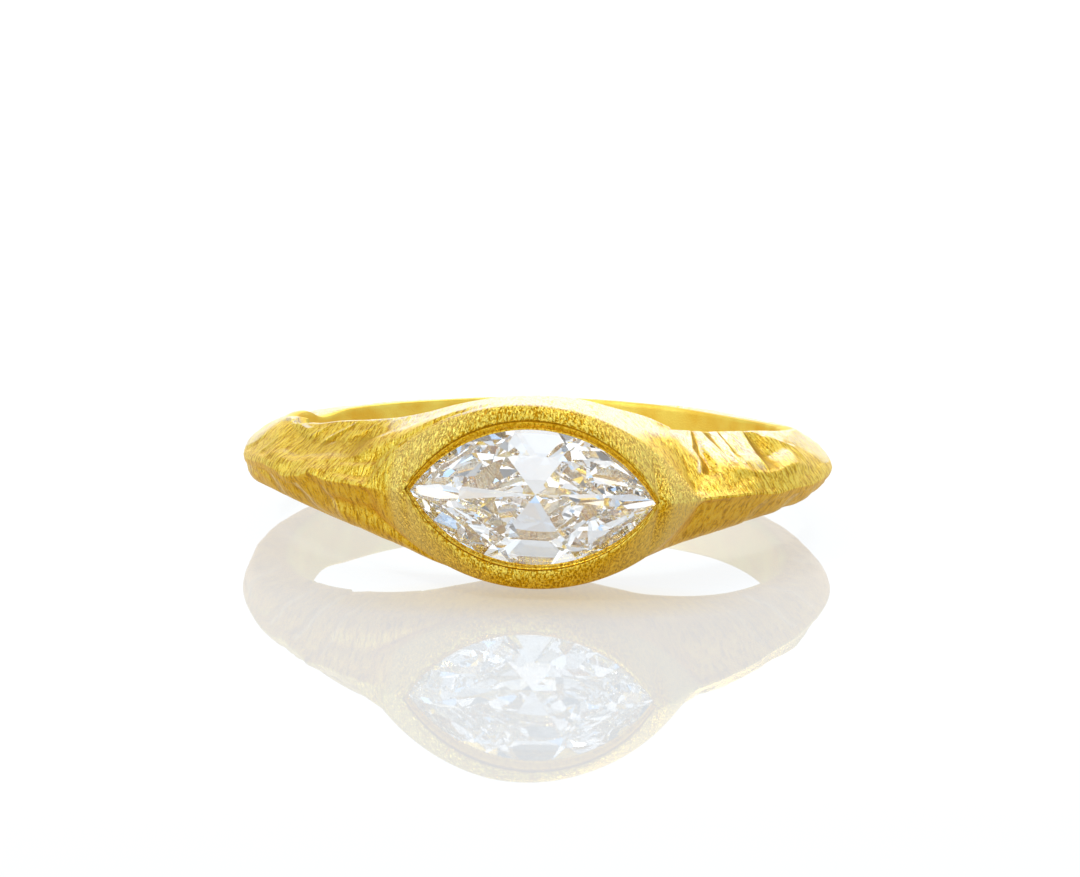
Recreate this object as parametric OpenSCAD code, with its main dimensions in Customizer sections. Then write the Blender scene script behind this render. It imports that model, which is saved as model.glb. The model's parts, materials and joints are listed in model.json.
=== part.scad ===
// Carved yellow gold ring with one marquise stone in a rim setting, lying on its side.
// Lengths are millimetres. In the ring's own frame the bore runs along Z and the stone looks
// along -Y. Angles round the band are 0 at the stone and grow toward the right shoulder.

/* [Band] */
// Radius of the finger bore
bore_radius = 8.65; // [8.2:0.05:9]
// How far the swept section reaches inside the bore before the bore is cut
bore_overlap = 0.35; // [0.2:0.05:0.6]
// Rise of the section from the bore edge to the crests beside it
edge_ease = 0.14; // [0.05:0.01:0.3]
// Half width of the flat along the ridge of the shank
ridge_half_width = 0.07; // [0.03:0.01:0.15]
// Height left between the rim line and the ridge line outside the setting
rim_merge_height = 0.16; // [0.1:0.01:0.3]
// Angle between sections round the plain part of the band
shank_step = 5; // [2.5, 5]
// Angle between sections beside the setting
setting_step = 2; // [1, 2]

/* [Setting] */
// Distance from the bore axis to the front of the rim at the stone's middle
rim_front = 12.5; // [12.2:0.05:12.8]
// Sideways place of the stone's middle
setting_x = -0.17; // [-0.4:0.01:0.2]
// Height of the stone's middle on the band
setting_z = -0.13; // [-0.3:0.01:0.1]
// Turn of the stone about the bore axis, which brings its right tip forward
setting_yaw = 7; // [0:0.5:9]
// Turn of the stone in its own plane, which lowers its right tip
setting_turn = 1.8; // [0:0.1:4]
// Half length of the rim's outer outline
rim_half_length = 5.9; // [5.6:0.1:6.1]
// Half width of the rim's outer outline
rim_half_width = 3.2; // [3.1:0.05:3.3]
// Half width of the rim's inner edge, where the inner bevel starts
bevel_half_width = 2.6; // [2.55:0.01:2.7]
// Half width of the opening that shows the stone
lip_half_width = 2.35; // [2.34:0.01:2.4]
// Depth of the inner bevel from the rim's front to the lip
bevel_depth = 0.26; // [0.2:0.01:0.3]
// Thickness of the lip's edge
lip_thickness = 0.04; // [0.03:0.01:0.05]
// Half width of the open back behind the stone
back_half_width = 1.85; // [1.85:0.01:1.95]

/* [Stone] */
// Half length of the stone at its girdle
stone_half_length = 4.36; // [4.3:0.01:4.4]
// Half width of the stone at its girdle
stone_half_width = 2.5; // [2.46:0.01:2.52]
// Height of the crown from girdle to table
crown_height = 0.62; // [0.55:0.01:0.66]
// Thickness of the girdle
girdle_height = 0.1; // [0.06:0.01:0.14]
// Depth of the pavilion from girdle to culet
pavilion_depth = 2.1; // [1.9:0.05:2.15]
// Share of the stone's width that the table takes
table_share = 0.58; // [0.52:0.01:0.6]
// Clear gap between the stone and the metal
stone_gap = 0.04; // [0.03:0.01:0.05]
// Depth from the lip to the top of the stone's girdle
lip_to_girdle = 0.2; // [0.19:0.01:0.24]

/* [Rest] */
// Lean of the ring as it lies, with the stone side raised
rest_tilt = 7.17; // [6:0.01:8]
// Small sideways lean of the ring as it lies
rest_roll = 0; // [-1:0.01:1]

/* [Hidden] */
$fn = 96;

// Columns of the section table. Radii are from the bore axis, heights along the bore.
PHI = 0;
RIDGE_R = 1;
RIDGE_Z = 2;
RIM_R = 3;
CREST_R = 4;
CREST_Z = 5;
UP_R = 6;
UP_Z = 7;
LOW_R = 8;
LOW_Z = 9;
BASE_R = 10;
BASE_Z = 11;

// One row a section: the side ridge, the line of the rim, the upper crest, the break of the
// upper flank, the break of the lower flank and the lower crest.
sections = [
    [-180, 10.15, 0.30, 10.14, 8.80, 1.58, 9.80, 1.47, 9.90, -0.84, 9.10, -0.98],
    [-152, 10.15, 0.30, 10.14, 8.80, 1.50, 9.85, 1.38, 9.90, -0.94, 9.10, -1.12],
    [-128, 10.20, 0.28, 10.18, 8.82, 1.38, 9.88, 1.34, 9.98, -0.74, 9.10, -0.94],
    [-117, 10.26, 0.26, 10.24, 8.96, 1.22, 9.88, 1.27, 10.07, -0.71, 9.08, -0.92],
    [-108, 10.34, 0.24, 10.32, 8.90, 1.52, 9.86, 1.18, 10.15, -0.70, 9.05, -0.90],
    [-88, 10.46, 0.20, 10.44, 9.05, 1.52, 10.24, 0.76, 10.20, -0.56, 9.00, -0.92],
    [-72, 10.56, 0.20, 10.52, 9.05, 1.78, 9.58, 1.44, 10.26, -0.62, 8.95, -1.12],
    [-60, 10.80, 0.22, 10.74, 9.05, 1.70, 9.95, 0.98, 10.28, -0.82, 8.90, -1.38],
    [-50, 11.12, 0.20, 11.04, 9.00, 1.90, 10.05, 0.98, 10.32, -1.04, 8.90, -1.66],
    [-40, 11.52, 0.12, 11.42, 9.00, 2.05, 10.25, 1.14, 10.55, -1.36, 8.90, -1.96],
    [-32, 11.95, 0.04, 11.80, 9.00, 2.21, 10.45, 1.42, 10.80, -1.70, 8.90, -2.24],
    [-25, 12.45, -0.02, 12.02, 9.00, 2.45, 10.60, 1.88, 11.00, -2.06, 8.95, -2.52],
    [-18, 13.00, -0.04, 12.12, 9.00, 2.76, 10.60, 2.42, 11.10, -2.56, 9.00, -2.86],
    [-9, 12.50, -0.10, 12.24, 9.00, 3.04, 10.60, 2.96, 11.20, -3.10, 9.00, -3.22],
    [0, 12.50, -0.13, 12.28, 9.00, 3.13, 10.60, 3.12, 11.20, -3.32, 9.05, -3.31],
    [9, 12.60, -0.16, 12.34, 9.00, 3.02, 10.60, 2.96, 11.20, -3.14, 9.00, -3.22],
    [18, 13.90, -0.22, 12.52, 9.00, 2.66, 10.60, 2.30, 11.10, -2.52, 9.00, -2.82],
    [25, 12.90, -0.24, 12.40, 9.00, 2.36, 10.50, 1.74, 11.00, -2.04, 8.95, -2.46],
    [32, 12.30, -0.22, 12.08, 8.90, 1.93, 10.45, 1.12, 10.80, -1.72, 8.90, -2.20],
    [40, 11.76, -0.26, 11.62, 8.88, 1.76, 10.52, 0.95, 10.55, -1.48, 8.90, -1.94],
    [50, 11.28, -0.28, 11.18, 8.88, 1.68, 10.48, 0.74, 10.35, -1.26, 8.90, -1.66],
    [60, 10.93, -0.26, 10.86, 8.95, 1.60, 10.24, 0.92, 10.25, -1.06, 8.90, -1.42],
    [72, 10.66, -0.14, 10.60, 9.05, 1.46, 10.20, 0.56, 10.15, -0.86, 8.95, -1.16],
    [88, 10.50, 0.00, 10.46, 9.15, 1.34, 10.37, 0.34, 10.10, -0.62, 9.00, -0.94],
    [108, 10.34, 0.14, 10.32, 8.90, 1.23, 9.92, 0.98, 10.02, -0.52, 9.05, -0.84],
    [128, 10.20, 0.24, 10.18, 8.80, 1.25, 9.82, 1.16, 9.90, -0.60, 9.10, -0.90],
    [152, 10.15, 0.28, 10.14, 8.80, 1.46, 9.82, 1.34, 9.88, -0.94, 9.10, -1.12],
    [180, 10.15, 0.30, 10.14, 8.80, 1.58, 9.80, 1.47, 9.90, -0.84, 9.10, -0.98]
];

// Columns of the table of carved chips on the bore's edges: the angle of a chip's step, the angle
// where it runs out, its depth at the step, and its side, which is 1 for the upper edge.
CHIP_STEP = 0;
CHIP_END = 1;
CHIP_DEPTH = 2;
CHIP_SIDE = 3;
chips = [
    [-69.0, -50.5, 0.24, 1],
    [-64.5, -56.0, 0.10, -1],
    [-48.5, -37.0, 0.14, -1],
    [-28.0, -19.0, 0.10, -1],
    [31.0, 41.0, 0.12, 1]
];
chip_height = 0.6;
chip_width = 4.2;

last_row = len(sections) - 1;

// Value of a column at an angle, on a smooth curve through the rows
function row_at(phi, i = 0) = (i >= last_row - 1 || phi < sections[i + 1][PHI]) ? i : row_at(phi, i + 1);
function before(i) = i == 0 ? last_row - 1 : i - 1;
function after(i) = i == last_row ? 1 : i + 1;
function gap_angle(i, j) = (sections[j][PHI] - sections[i][PHI] + 360) % 360;
function slope(i, c) =
    let (p = before(i), n = after(i))
    (sections[n][c] - sections[p][c]) / (gap_angle(p, i) + gap_angle(i, n));
function curve(t, a, b, ma, mb) =
    (2 * t * t * t - 3 * t * t + 1) * a + (t * t * t - 2 * t * t + t) * ma
    + (3 * t * t - 2 * t * t * t) * b + (t * t * t - t * t) * mb;
function column(phi, c) =
    let (i = row_at(phi), w = sections[i + 1][PHI] - sections[i][PHI])
    curve((phi - sections[i][PHI]) / w, sections[i][c], sections[i + 1][c],
        slope(i, c) * w, slope(i + 1, c) * w);

// Half height of a pointed oval of half length a and half width b at the distance u from its middle
function oval_radius(a, b) = (a * a + b * b) / (2 * b);
function oval(u, a, b) =
    let (r = oval_radius(a, b))
    abs(u) >= a ? 0 : sqrt(r * r - u * u) - (r - b);
function scaled_length(b) = stone_half_length * sqrt(b / stone_half_width);
bevel_half_length = scaled_length(bevel_half_width) + 0.1;

// Radius at which a ray at the given angle meets the plane of the rim's front
function front_radius(phi) =
    (rim_front - setting_x * tan(setting_yaw)) / (cos(phi) - sin(phi) * tan(setting_yaw));
function along(r, phi) = (r * sin(phi) - setting_x) / cos(setting_yaw);
function rim_height(u, side, a, b) =
    setting_z - u * sin(setting_turn) + side * oval(u, a, b) * cos(setting_turn);

function ridge_radius(phi) =
    let (u = along(front_radius(phi), phi))
    abs(phi) < 30 && abs(u) < bevel_half_length ? front_radius(phi) : column(phi, RIDGE_R);
function ridge_height(phi, side) =
    let (r = ridge_radius(phi), u = along(r, phi))
    abs(phi) < 30 && abs(u) < bevel_half_length
    ? rim_height(u, side, bevel_half_length, bevel_half_width)
    : column(phi, RIDGE_Z) + side * ridge_half_width;
function rim_line(phi, side) =
    let (u = along(column(phi, RIM_R), phi),
        z = rim_height(u, side, rim_half_length, rim_half_width),
        least = column(phi, RIDGE_Z) + side * rim_merge_height)
    abs(phi) > 35 ? least : (side > 0 ? max(z, least) : min(z, least));

// The section at an angle, from the lower bore edge round the outside to the upper bore edge
function section(phi) = [
    [bore_radius - bore_overlap, column(phi, BASE_Z) + edge_ease],
    [column(phi, BASE_R), column(phi, BASE_Z)],
    [column(phi, LOW_R), column(phi, LOW_Z)],
    [column(phi, RIM_R), rim_line(phi, -1)],
    [ridge_radius(phi), ridge_height(phi, -1)],
    [ridge_radius(phi), ridge_height(phi, 1)],
    [column(phi, RIM_R), rim_line(phi, 1)],
    [column(phi, UP_R), column(phi, UP_Z)],
    [column(phi, CREST_R), column(phi, CREST_Z)],
    [bore_radius - bore_overlap, column(phi, CREST_Z) - edge_ease]
];

stations = concat(
    [for (a = [-180:shank_step:-35]) a],
    [for (a = [-32:setting_step:32]) a],
    [for (a = [35:shank_step:175]) a]
);
per_section = 10;
band_points = [
    for (phi = stations) for (p = section(phi)) [p[0] * sin(phi), -p[0] * cos(phi), p[1]]
];
station_count = len(stations);
band_faces = [
    for (i = [0:station_count - 1]) for (k = [0:per_section - 1])
    let (a = i * per_section + k, b = i * per_section + (k + 1) % per_section,
        j = (i + 1) % station_count,
        c = j * per_section + (k + 1) % per_section, d = j * per_section + k)
    each [[a, c, d], [a, b, c]]
];

// The ring as it lies: leaned back, then sideways, then moved so that its box stands on the
// origin with its middle
function leaned(p) =
    let (y = p[1] * cos(rest_tilt) + p[2] * sin(rest_tilt),
        z = -p[1] * sin(rest_tilt) + p[2] * cos(rest_tilt))
    [p[0] * cos(rest_roll) + z * sin(rest_roll), y, -p[0] * sin(rest_roll) + z * cos(rest_roll)];
lying = [for (p = band_points) leaned(p)];
low_corner = [for (k = [0:2]) min([for (p = lying) p[k]])];
high_corner = [for (k = [0:2]) max([for (p = lying) p[k]])];
rest_shift = [
    -(low_corner[0] + high_corner[0]) / 2,
    -(low_corner[1] + high_corner[1]) / 2,
    -low_corner[2]
];

module lying_down() {
    translate(rest_shift)
        rotate([0, rest_roll, 0])
            rotate([-rest_tilt, 0, 0])
                children();
}

// Frame of the stone: X along it, Y across it, Z out of its table, 0 at the rim's front
module at_setting() {
    translate([setting_x, -rim_front, setting_z])
        rotate([0, 0, -setting_yaw])
            rotate([90, 0, 0])
                rotate([0, 0, -setting_turn])
                    children();
}

lip_z = -bevel_depth;
girdle_top = lip_z - lip_to_girdle;
girdle_bottom = girdle_top - girdle_height;
table_z = girdle_top + crown_height;
culet_z = girdle_bottom - pavilion_depth;

// Levels of the seat: height in the stone's frame, and half length and half width of the cut
seat_levels = [
    [0.60, bevel_half_length + 0.62, bevel_half_width + 0.62],
    [0, bevel_half_length, bevel_half_width],
    [lip_z, scaled_length(lip_half_width), lip_half_width],
    [lip_z - lip_thickness, scaled_length(lip_half_width), lip_half_width],
    [girdle_top + stone_gap, stone_half_length + 0.06, stone_half_width + stone_gap],
    [girdle_bottom - stone_gap, stone_half_length + 0.06, stone_half_width + stone_gap],
    [girdle_bottom - 0.62, scaled_length(back_half_width) + 0.05, back_half_width + 0.02],
    [girdle_bottom - 4.6, scaled_length(back_half_width) + 0.05, back_half_width + 0.02]
];
outline_steps = 24;
function outline_side(a, b, side) = [
    for (k = [0:outline_steps - 1])
    let (t = 180 * k / outline_steps, u = side * a * cos(t))
    [u, side * oval(u, a, b)]
];
function outline(a, b) = concat(outline_side(a, b, 1), outline_side(a, b, -1));
outline_count = 2 * outline_steps;
level_count = len(seat_levels);
seat_points = [
    for (l = seat_levels) for (p = outline(l[1], l[2])) [p[0], p[1], l[0]]
];
seat_faces = concat(
    [[for (k = [0:outline_count - 1]) outline_count - 1 - k]],
    [for (i = [0:level_count - 2]) for (k = [0:outline_count - 1])
        let (a = i * outline_count + k, b = i * outline_count + (k + 1) % outline_count)
        each [[a, b, b + outline_count], [a, b + outline_count, a + outline_count]]],
    [[for (k = [0:outline_count - 1]) (level_count - 1) * outline_count + k]]
);

module seat() {
    at_setting()
        polyhedron(points = seat_points, faces = seat_faces, convexity = 4);
}

// A chip is a wedge whose floor runs from the foot of its step to the edge where it ends
function edge_radius(phi, side) = column(phi, side > 0 ? CREST_R : BASE_R);
function edge_height(phi, side) = column(phi, side > 0 ? CREST_Z : BASE_Z);
module carved_chip(c) {
    side = c[CHIP_SIDE];
    middle = (c[CHIP_STEP] + c[CHIP_END]) / 2;
    half = (c[CHIP_END] - c[CHIP_STEP]) / 2;
    r = edge_radius(middle, side);
    foot = edge_height(c[CHIP_STEP], side) - side * c[CHIP_DEPTH];
    end = edge_height(c[CHIP_END], side);
    reach = 2 * r * sin(half);
    rotate([0, 0, middle])
        translate([0, -r * cos(half), (foot + end) / 2])
            rotate([0, -atan2(end - foot, reach), 0])
                translate([-reach / 2, -chip_width / 2, side > 0 ? 0 : -chip_height])
                    cube([reach, chip_width, chip_height]);
}

module carved_band() {
    color([0.83, 0.62, 0.2])
        lying_down()
            difference() {
                polyhedron(points = band_points, faces = band_faces, convexity = 6);
                translate([0, 0, -6])
                    cylinder(h = 12, r = bore_radius);
                seat();
                for (c = chips)
                    carved_chip(c);
            }
}

// Reach of the stone's outline in a direction, measured from its middle
function reach(direction) =
    let (r = oval_radius(stone_half_length, stone_half_width), k = r - stone_half_width)
    abs(sin(direction)) * r > k ? r - k * abs(sin(direction)) : stone_half_length * abs(cos(direction));

// Directions in which the facets of each kind face, all round the stone
main_directions = [0, 50, 90, 130, 180, 230, 270, 310];
half_directions = [24, 39, 63, 77, 103, 117, 141, 156, 204, 219, 243, 257, 283, 297, 321, 336];
star_directions = [30, 70, 110, 150, 210, 250, 290, 330];
// Height of each kind of facet as a share of the crown or pavilion, where it would meet the
// table's edge or the axis
upper_half_rise = 1.3;
star_rise = 0.62;
lower_half_fall = 1.14;
star_reach = 1.03;

// A half space whose face passes the distance d from the axis at height z. Its outward normal
// leans from the axis by the angle given.
module facet(direction, d, z, lean) {
    rotate([0, 0, direction])
        translate([d, 0, z])
            rotate([0, lean, 0])
                translate([-15, -15, -30])
                    cube([30, 30, 30]);
}

module crown_facet(direction, rise) {
    facet(direction, reach(direction), girdle_top,
        atan2(rise * crown_height, (1 - table_share) * reach(direction)));
}

module star_facet(direction) {
    facet(direction, star_reach * table_share * reach(direction), table_z,
        atan2(star_rise * crown_height, (1 - table_share) * reach(direction)));
}

module pavilion_facet(direction, fall) {
    facet(direction, reach(direction), girdle_bottom,
        180 - atan2(fall * pavilion_depth, reach(direction)));
}

module marquise_stone() {
    girdle_radius = oval_radius(stone_half_length, stone_half_width);
    color([0.93, 0.96, 1])
        lying_down()
            at_setting()
                intersection() {
                    intersection_for (side = [1, -1])
                        translate([0, side * (stone_half_width - girdle_radius), culet_z - 1])
                            cylinder(h = 6, r = girdle_radius);
                    translate([-10, -10, table_z - 20])
                        cube([20, 20, 20]);
                    intersection_for (direction = main_directions)
                        crown_facet(direction, 1);
                    intersection_for (direction = half_directions)
                        crown_facet(direction, upper_half_rise);
                    intersection_for (direction = star_directions)
                        star_facet(direction);
                    intersection_for (direction = main_directions)
                        pavilion_facet(direction, 1);
                    intersection_for (direction = half_directions)
                        pavilion_facet(direction, lower_half_fall);
                }
}

carved_band();
marquise_stone();
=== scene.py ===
"""Carved gold ring with a marquise diamond, lying on its side on glossy white acrylic."""

import json
import math

import bpy
import numpy as np
from mathutils import Matrix, Vector


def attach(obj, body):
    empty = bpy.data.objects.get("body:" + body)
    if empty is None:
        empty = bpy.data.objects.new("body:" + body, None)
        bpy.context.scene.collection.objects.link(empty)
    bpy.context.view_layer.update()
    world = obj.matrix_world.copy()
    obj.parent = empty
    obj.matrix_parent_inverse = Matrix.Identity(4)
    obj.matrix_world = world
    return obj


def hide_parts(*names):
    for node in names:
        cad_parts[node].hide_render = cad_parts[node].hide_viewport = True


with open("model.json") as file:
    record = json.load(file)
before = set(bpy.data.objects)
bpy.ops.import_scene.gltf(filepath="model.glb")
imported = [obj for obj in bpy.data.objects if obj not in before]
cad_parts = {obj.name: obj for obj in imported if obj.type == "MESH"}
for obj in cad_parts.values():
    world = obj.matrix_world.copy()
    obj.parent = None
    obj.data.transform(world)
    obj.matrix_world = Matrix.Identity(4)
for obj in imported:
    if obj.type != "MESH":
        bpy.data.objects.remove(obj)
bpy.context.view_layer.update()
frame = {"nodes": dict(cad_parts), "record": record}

bl_info = {
    "name": "Carved Marquise Ring",
    "version": (1, 0, 0),
    "blender": (4, 5, 0),
    "location": "3D View > Sidebar > Ring",
    "description": "Dresses the carved gold ring, its marquise stone and the acrylic it lies on",
    "category": "Object",
}

MM = 0.001
BORE = next(m for m in frame["record"]["mounts"] if m["name"] == "finger_hole")
AXIS_POINT = np.array(BORE["pos_m"]) / MM
AXIS_LEAN = math.atan2(BORE["axis"][1], BORE["axis"][2])

# Columns of the section table. Radii are in mm from the bore's axis, heights in mm along it.
PHI, RIDGE_R, RIDGE_Z, RIM_R, CREST_R, CREST_Z = 0, 1, 2, 3, 4, 5
UP_R, UP_Z, LOW_R, LOW_Z, BASE_R, BASE_Z = 6, 7, 8, 9, 10, 11

# Columns of the outer edge and of the flank's break on each side (1 is up)
SIDE_COLUMNS = {1: (CREST_R, CREST_Z, UP_R, UP_Z), -1: (BASE_R, BASE_Z, LOW_R, LOW_Z)}

# One row a section: the side ridge, the line of the rim, the upper crest, the break of the
# upper flank, the break of the lower flank and the lower crest.
SECTIONS = np.array([
    [-180, 10.15, 0.30, 10.14, 8.80, 1.58, 9.80, 1.47, 9.90, -0.84, 9.10, -0.98],
    [-152, 10.15, 0.30, 10.14, 8.80, 1.50, 9.85, 1.38, 9.90, -0.94, 9.10, -1.12],
    [-128, 10.20, 0.28, 10.18, 8.82, 1.38, 9.88, 1.34, 9.98, -0.74, 9.10, -0.94],
    [-117, 10.26, 0.26, 10.24, 8.96, 1.22, 9.88, 1.27, 10.07, -0.71, 9.08, -0.92],
    [-108, 10.34, 0.24, 10.32, 8.90, 1.52, 9.86, 1.18, 10.15, -0.70, 9.05, -0.90],
    [-88, 10.46, 0.20, 10.44, 9.05, 1.52, 10.24, 0.76, 10.20, -0.56, 9.00, -0.92],
    [-72, 10.56, 0.20, 10.52, 9.05, 1.78, 9.58, 1.44, 10.26, -0.62, 8.95, -1.12],
    [-60, 10.80, 0.22, 10.74, 9.05, 1.70, 9.95, 0.98, 10.28, -0.82, 8.90, -1.38],
    [-50, 11.12, 0.20, 11.04, 9.00, 1.90, 10.05, 0.98, 10.32, -1.04, 8.90, -1.66],
    [-40, 11.52, 0.12, 11.42, 9.00, 2.05, 10.25, 1.14, 10.55, -1.36, 8.90, -1.96],
    [-32, 11.95, 0.04, 11.80, 9.00, 2.21, 10.45, 1.42, 10.80, -1.70, 8.90, -2.24],
    [-25, 12.45, -0.02, 12.02, 9.00, 2.45, 10.60, 1.88, 11.00, -2.06, 8.95, -2.52],
    [-18, 13.00, -0.04, 12.12, 9.00, 2.76, 10.60, 2.42, 11.10, -2.56, 9.00, -2.86],
    [-9, 12.50, -0.10, 12.24, 9.00, 3.04, 10.60, 2.96, 11.20, -3.10, 9.00, -3.22],
    [0, 12.50, -0.13, 12.28, 9.00, 3.13, 10.60, 3.12, 11.20, -3.32, 9.05, -3.31],
    [9, 12.60, -0.16, 12.34, 9.00, 3.02, 10.60, 2.96, 11.20, -3.14, 9.00, -3.22],
    [18, 13.90, -0.22, 12.52, 9.00, 2.66, 10.60, 2.30, 11.10, -2.52, 9.00, -2.82],
    [25, 12.90, -0.24, 12.40, 9.00, 2.36, 10.50, 1.74, 11.00, -2.04, 8.95, -2.46],
    [32, 12.30, -0.22, 12.08, 8.90, 1.93, 10.45, 1.12, 10.80, -1.72, 8.90, -2.20],
    [40, 11.76, -0.26, 11.62, 8.88, 1.76, 10.52, 0.95, 10.55, -1.48, 8.90, -1.94],
    [50, 11.28, -0.28, 11.18, 8.88, 1.68, 10.48, 0.74, 10.35, -1.26, 8.90, -1.66],
    [60, 10.93, -0.26, 10.86, 8.95, 1.60, 10.24, 0.92, 10.25, -1.06, 8.90, -1.42],
    [72, 10.66, -0.14, 10.60, 9.05, 1.46, 10.20, 0.56, 10.15, -0.86, 8.95, -1.16],
    [88, 10.50, 0.00, 10.46, 9.15, 1.34, 10.37, 0.34, 10.10, -0.62, 9.00, -0.94],
    [108, 10.34, 0.14, 10.32, 8.90, 1.23, 9.92, 0.98, 10.02, -0.52, 9.05, -0.84],
    [128, 10.20, 0.24, 10.18, 8.80, 1.25, 9.82, 1.16, 9.90, -0.60, 9.10, -0.90],
    [152, 10.15, 0.28, 10.14, 8.80, 1.46, 9.82, 1.34, 9.88, -0.94, 9.10, -1.12],
    [180, 10.15, 0.30, 10.14, 8.80, 1.58, 9.80, 1.47, 9.90, -0.84, 9.10, -0.98],
])

# Chips in the bore's edges: angle of the step, angle where the chip runs out, depth, side (1 is up)
CHIPS = (
    (-69.0, -50.5, 0.24, 1),
    (-64.5, -56.0, 0.10, -1),
    (-48.5, -37.0, 0.14, -1),
    (-28.0, -19.0, 0.10, -1),
    (31.0, 41.0, 0.12, 1),
)

# How far the carved ridge wanders up or down: angle, mm
RIDGE_WANDER = np.array([
    [-78, 0.00], [-66, 0.04], [-60, -0.04], [-54, -0.24], [-49, -0.12], [-45, 0.08], [-40, -0.04],
    [-33, 0.00], [33, 0.00], [40, 0.03], [48, -0.03], [56, 0.05], [66, -0.02], [80, 0.00],
])

# Knife strokes on the flanks. Each falls away from a sharp edge over its bite, rises again over the
# rest of its run, and deepens from its start to its end: side, angle of the edge at the crest, its
# change of angle by the rim line, run in degrees at its start and at its end (negative runs toward
# smaller angles), depth in mm, share of the run taken by the bite, and the shares of the way from
# crest to rim line where it starts and ends
STROKES = (
    (1, 36.8, -9.0, 1.6, 4.4, 0.24, 0.62, 0.00, 0.74),
    (1, 39.9, -0.8, 4.6, 4.2, 0.26, 0.50, 0.00, 0.54),
    (1, 44.8, -4.0, 3.4, 7.0, 0.16, 0.25, 0.00, 0.50),
    (1, 53.8, -9.4, 2.6, 19.0, 0.38, 0.38, 0.00, 0.54),
    (1, 66.0, -6.0, 3.0, 9.0, 0.05, 0.30, 0.00, 0.40),
    (1, -43.3, -14.8, 3.0, 6.5, 0.13, 0.40, 0.02, 0.50),
    (1, -51.5, -12.0, 3.0, 5.0, 0.07, 0.40, 0.04, 0.44),
    (1, -35.0, -16.0, 3.0, 5.0, 0.06, 0.40, 0.04, 0.40),
    (1, -62.0, -10.0, 3.0, 6.0, 0.05, 0.40, 0.45, 0.95),
    (-1, -58.0, -5.0, -8.0, -8.0, 0.07, 0.30, 0.05, 0.95),
    (-1, -47.0, -5.0, -7.0, -7.0, 0.08, 0.30, 0.05, 0.95),
    (-1, -38.0, -5.0, -6.0, -6.0, 0.06, 0.30, 0.05, 0.95),
    (-1, 42.0, 5.0, 7.0, 7.0, 0.05, 0.30, 0.05, 0.95),
    (-1, 54.0, 5.0, 9.0, 9.0, 0.07, 0.30, 0.05, 0.95),
    (-1, 66.0, 5.0, 10.0, 10.0, 0.06, 0.30, 0.05, 0.95),
    (-1, -84.0, 5.0, -18.0, -18.0, 0.06, 0.30, 0.05, 0.95),
    (-1, 92.0, 5.0, 18.0, 18.0, 0.06, 0.30, 0.05, 0.95),
)

# Soft swellings and hollows of the flanks: side, angle, share of the way from crest to rim line,
# reach in degrees, reach as a share, height in mm
SWELLINGS = (
    (1, -37.5, 0.44, 4.0, 0.11, -0.13),
    (1, -57.0, 0.46, 9.0, 0.06, -0.06),
    (1, -46.0, 0.50, 6.0, 0.06, -0.05),
    (1, -66.0, 0.22, 8.0, 0.09, 0.06),
    (1, -56.0, 0.76, 8.0, 0.14, 0.07),
    (1, 44.0, 0.62, 7.0, 0.09, 0.06),
    (1, 63.0, 0.62, 7.0, 0.09, 0.04),
)

# Folds and dips beside the rim's left tip: side, place across the section (2 is the break of the
# flank, 3 the rim line), reach, height in mm
FOLDS = (
    (1, 2.02, 0.15, 0.10),
    (1, 2.34, 0.13, -0.10),
    (1, 2.80, 0.14, -0.13),
    (-1, 2.02, 0.14, 0.07),
    (-1, 2.42, 0.16, -0.10),
)

# Angles where the folds of each side start, are full, begin to fade and have gone
FOLD_SPAN = {1: (-41, -33, -16, -6), -1: (-46, -38, -22, -12)}

# Depth of a stroke at its start as a share of its full depth, the depth in mm whose painted shade
# and highlight are full, and the painted shade of a hollow for each mm of its depth
FIRST_CUT, FULL_PAINTED_SHADE_DEPTH, HOLLOW_PAINTED_SHADE = 0.12, 0.2, 5.0

# The bevel's groove: depth below the rim's inner edge and way in from it, both in mm
BEVEL = (
    (0.050, 0.010), (0.085, 0.024), (0.060, 0.046), (0.070, 0.080), (0.104, 0.125), (0.148, 0.170),
    (0.188, 0.205), (0.214, 0.228), (0.206, 0.240), (0.195, 0.252), (0.205, 0.264),
)
LIP_DEPTHS = (0.26, 0.30)
POCKET_DEPTHS = (0.42, 0.60)
BACK_DEPTHS = (1.18, 1.53, 1.88, 2.23, 2.58)

# Room in mm round the stone's girdle, and round the open back along and across it
POCKET_ROOM = (0.06, 0.04)
BACK_ROOM = (0.05, 0.02)

# Steps of the band's grid: stations in the setting, degrees between stations as far as NEAR_END
# and beyond it, steps between the controls of a section, and steps of half the bore's wall
SETTING_STEPS = 180
NEAR_STEP, FAR_STEP, NEAR_END = 0.36, 1.35, 80
LEG_STEPS = (2, 15, 13, 12)
WALL_STEPS = 8

# How far in mm each control's corner is rounded, and how the faces run past the bore and ease
CORNER_REACH = (0, 0.10, 0.42, 0.15, 0)
BORE_OVERLAP, EDGE_EASE = 0.35, 0.14

# The ridge in mm: half its width, and how far its middle line stands out
RIDGE_HALF, RIDGE_RISE = 0.045, 0.012

# Angle beyond which the rim's outline is the ridge's flank, and the degrees from the rim's tips over
# which the ridge and the bore's middle line run into them
RIM_END, TIP_BLEND, WALL_BLEND = 35, 4, 46

# In mm at the stone's tips: room to the rim's inner edge and cover of the lip, with the share of the
# groove's way in that is left there
TIP_ROOM, TIP_COVER, TIP_SHARE = 0.07, 0.08, 0.55

# The line just inside the rim's inner edge: way in and depth in mm, and its place in a section
SEAM_IN, SEAM_DEPTH, SEAM_PLACE = 0.004, 0.012, 4.06

# Radius in mm at which the brush coordinates of the outer faces run round the ring, the angles from
# the rim's middle at which its grain fades, and the shares that each point is marked with
BRUSH_RADIUS = 10.3
GRAIN_MIDDLE, GRAIN_FADE, GRAIN_GONE = 1.7, 24.5, 27
# The fourth mark holds the carving's painted shade and highlight, the fifth how much painted highlight a
# face may take.
MARKS = ("rim", "seat", "bore", "cut", "cream")

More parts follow.
